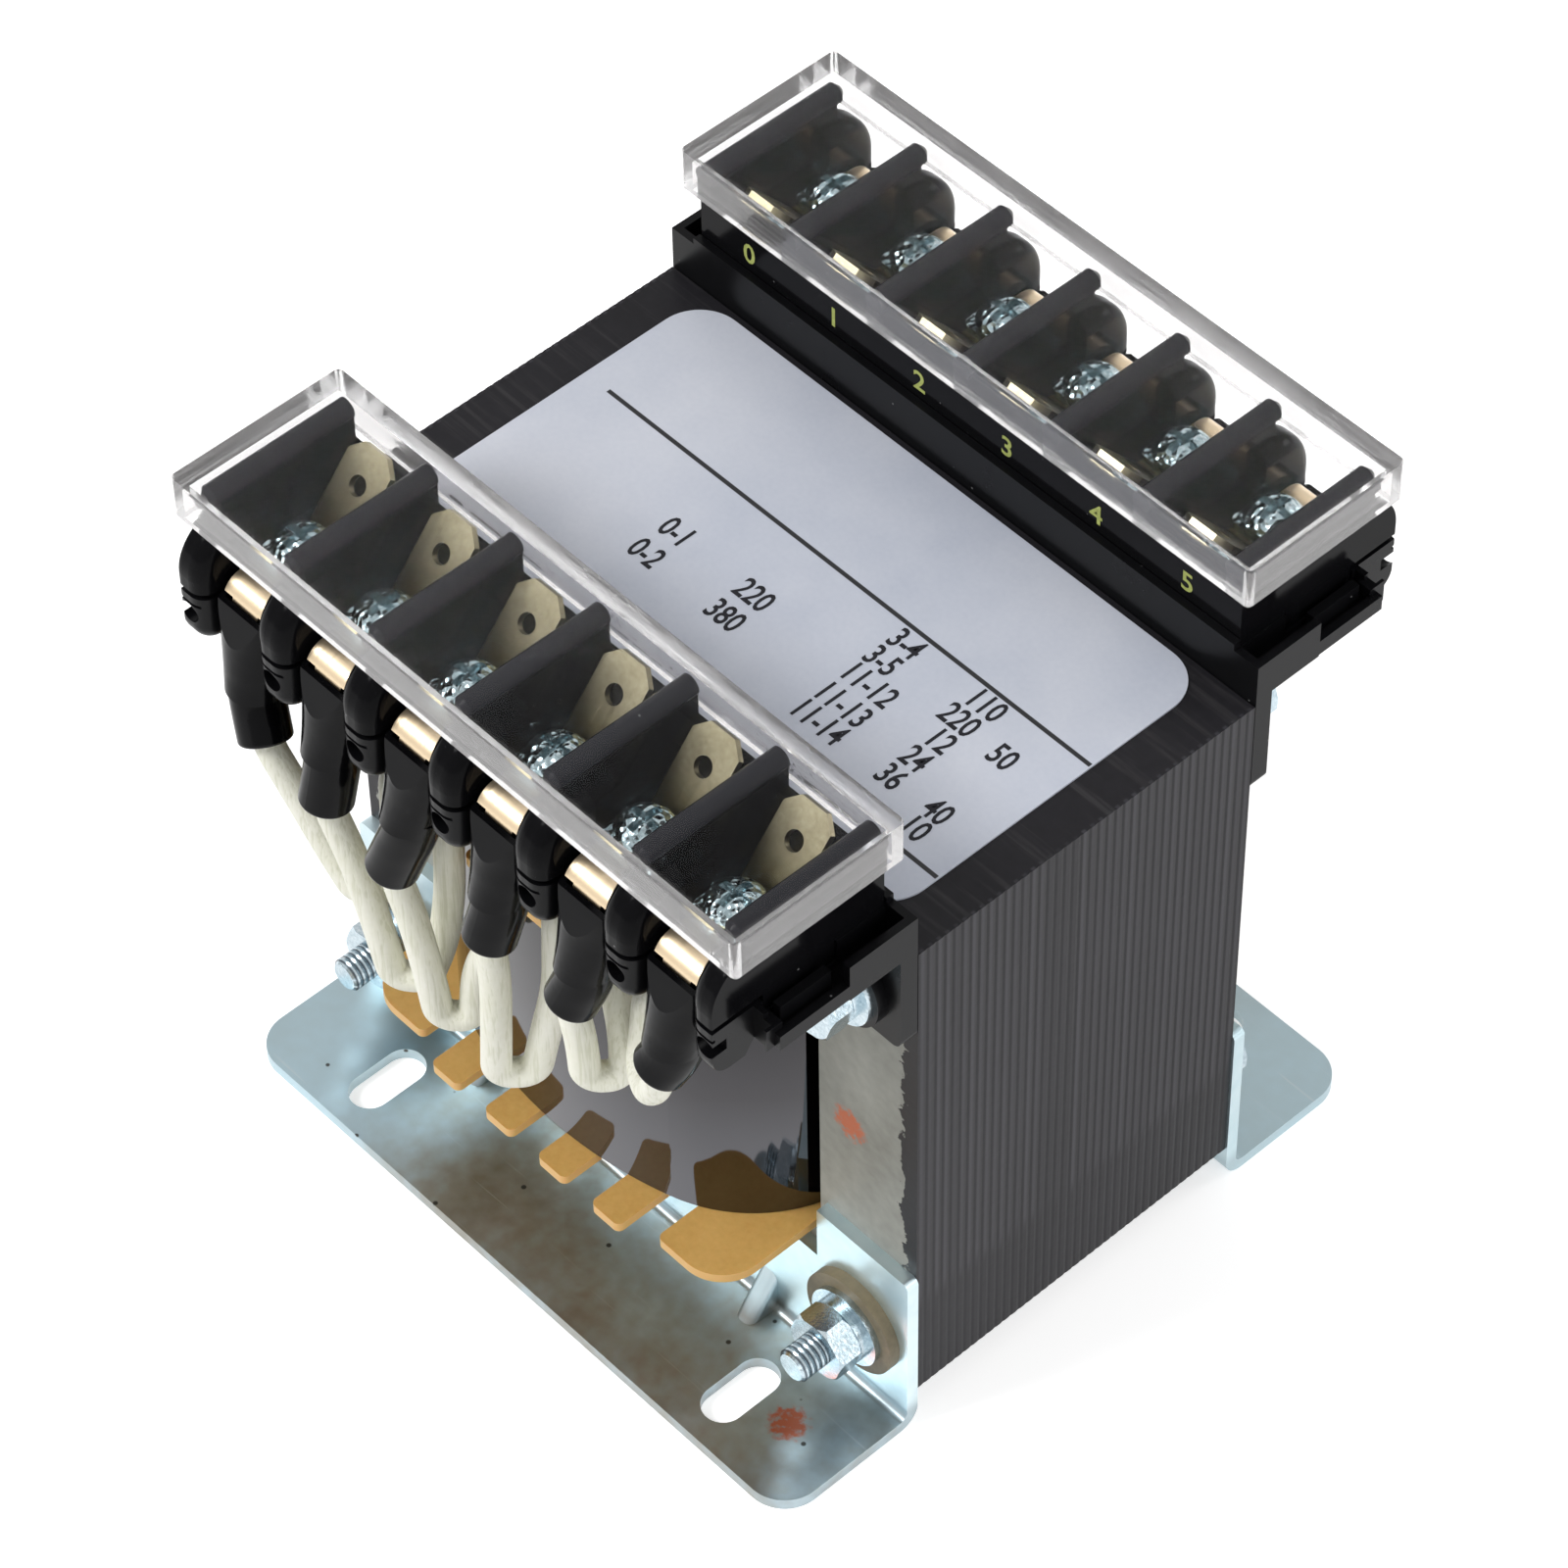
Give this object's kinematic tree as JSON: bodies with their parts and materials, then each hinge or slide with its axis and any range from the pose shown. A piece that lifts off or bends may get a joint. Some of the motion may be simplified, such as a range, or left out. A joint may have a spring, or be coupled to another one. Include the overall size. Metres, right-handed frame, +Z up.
{
  "type": "laminated chassis transformer",
  "caption": "Open-frame transformer with a laminated E-I core, wrapped coil, slotted mounting feet and covered screw terminal blocks along both top edges.",
  "frame": {"origin": "on the mounting surface, under the middle of the core", "axes": "+X along the terminal blocks, +Y through the stack of laminations towards the rear terminal block, +Z up from the mounting surface"},
  "size_m": [0.0846, 0.0946, 0.0927],
  "materials": {
    "core_paint": "satin varnish over bare lamination edges",
    "bobbin": "translucent amber nylon",
    "winding": "enamelled copper wire",
    "insulation": "insulating paper",
    "coil_film": "glossy dark film",
    "zinc_sheet": "zinc plated",
    "zinc_hardware": "zinc plated",
    "insulating_washer": "pressed fibre",
    "bolt_tube": "insulating sleeve",
    "black_moulding": "satin black polyamide",
    "terminal_brass": "bare brass",
    "clear_cover": "clear polycarbonate, glossy",
    "heat_shrink": "glossy black heat shrink",
    "lead_insulation": "cream silicone sleeving",
    "rating_plate": "satin silver sheet, unprinted"
  },
  "bodies": {
    "root": {"core_e_laminations": "core_paint", "core_i_laminations": "core_paint", "bobbin": "bobbin", "primary_winding": "winding", "winding_insulation": "insulation", "secondary_winding": "winding", "coil_film_wrap": "coil_film", "core_bolts": "zinc_hardware", "core_nuts": "zinc_hardware", "core_flat_washers": "zinc_hardware", "core_spring_washers": "zinc_hardware", "core_insulating_washers": "insulating_washer", "core_bolt_tubes": "bolt_tube", "rating_plate": "rating_plate", "front_foot": "zinc_sheet", "front_terminal_carrier": "black_moulding", "front_terminal_block": "black_moulding", "front_cover": "clear_cover", "front_terminal_strips": "terminal_brass", "front_terminal_screws": "zinc_hardware", "front_clamp_washers": "zinc_hardware", "front_heat_shrink_sleeves": "heat_shrink", "front_lead_1": "lead_insulation", "front_lead_2": "lead_insulation", "front_lead_3": "lead_insulation", "front_lead_4": "lead_insulation", "front_lead_5": "lead_insulation", "front_lead_6": "lead_insulation", "rear_foot": "zinc_sheet", "rear_terminal_carrier": "black_moulding", "rear_terminal_block": "black_moulding", "rear_cover": "clear_cover", "rear_terminal_strips": "terminal_brass", "rear_terminal_screws": "zinc_hardware", "rear_clamp_washers": "zinc_hardware", "rear_heat_shrink_sleeves": "heat_shrink", "rear_lead_1": "lead_insulation", "rear_lead_2": "lead_insulation", "rear_lead_3": "lead_insulation", "rear_lead_4": "lead_insulation", "rear_lead_5": "lead_insulation", "rear_lead_6": "lead_insulation"}
  },
  "joints": []
}
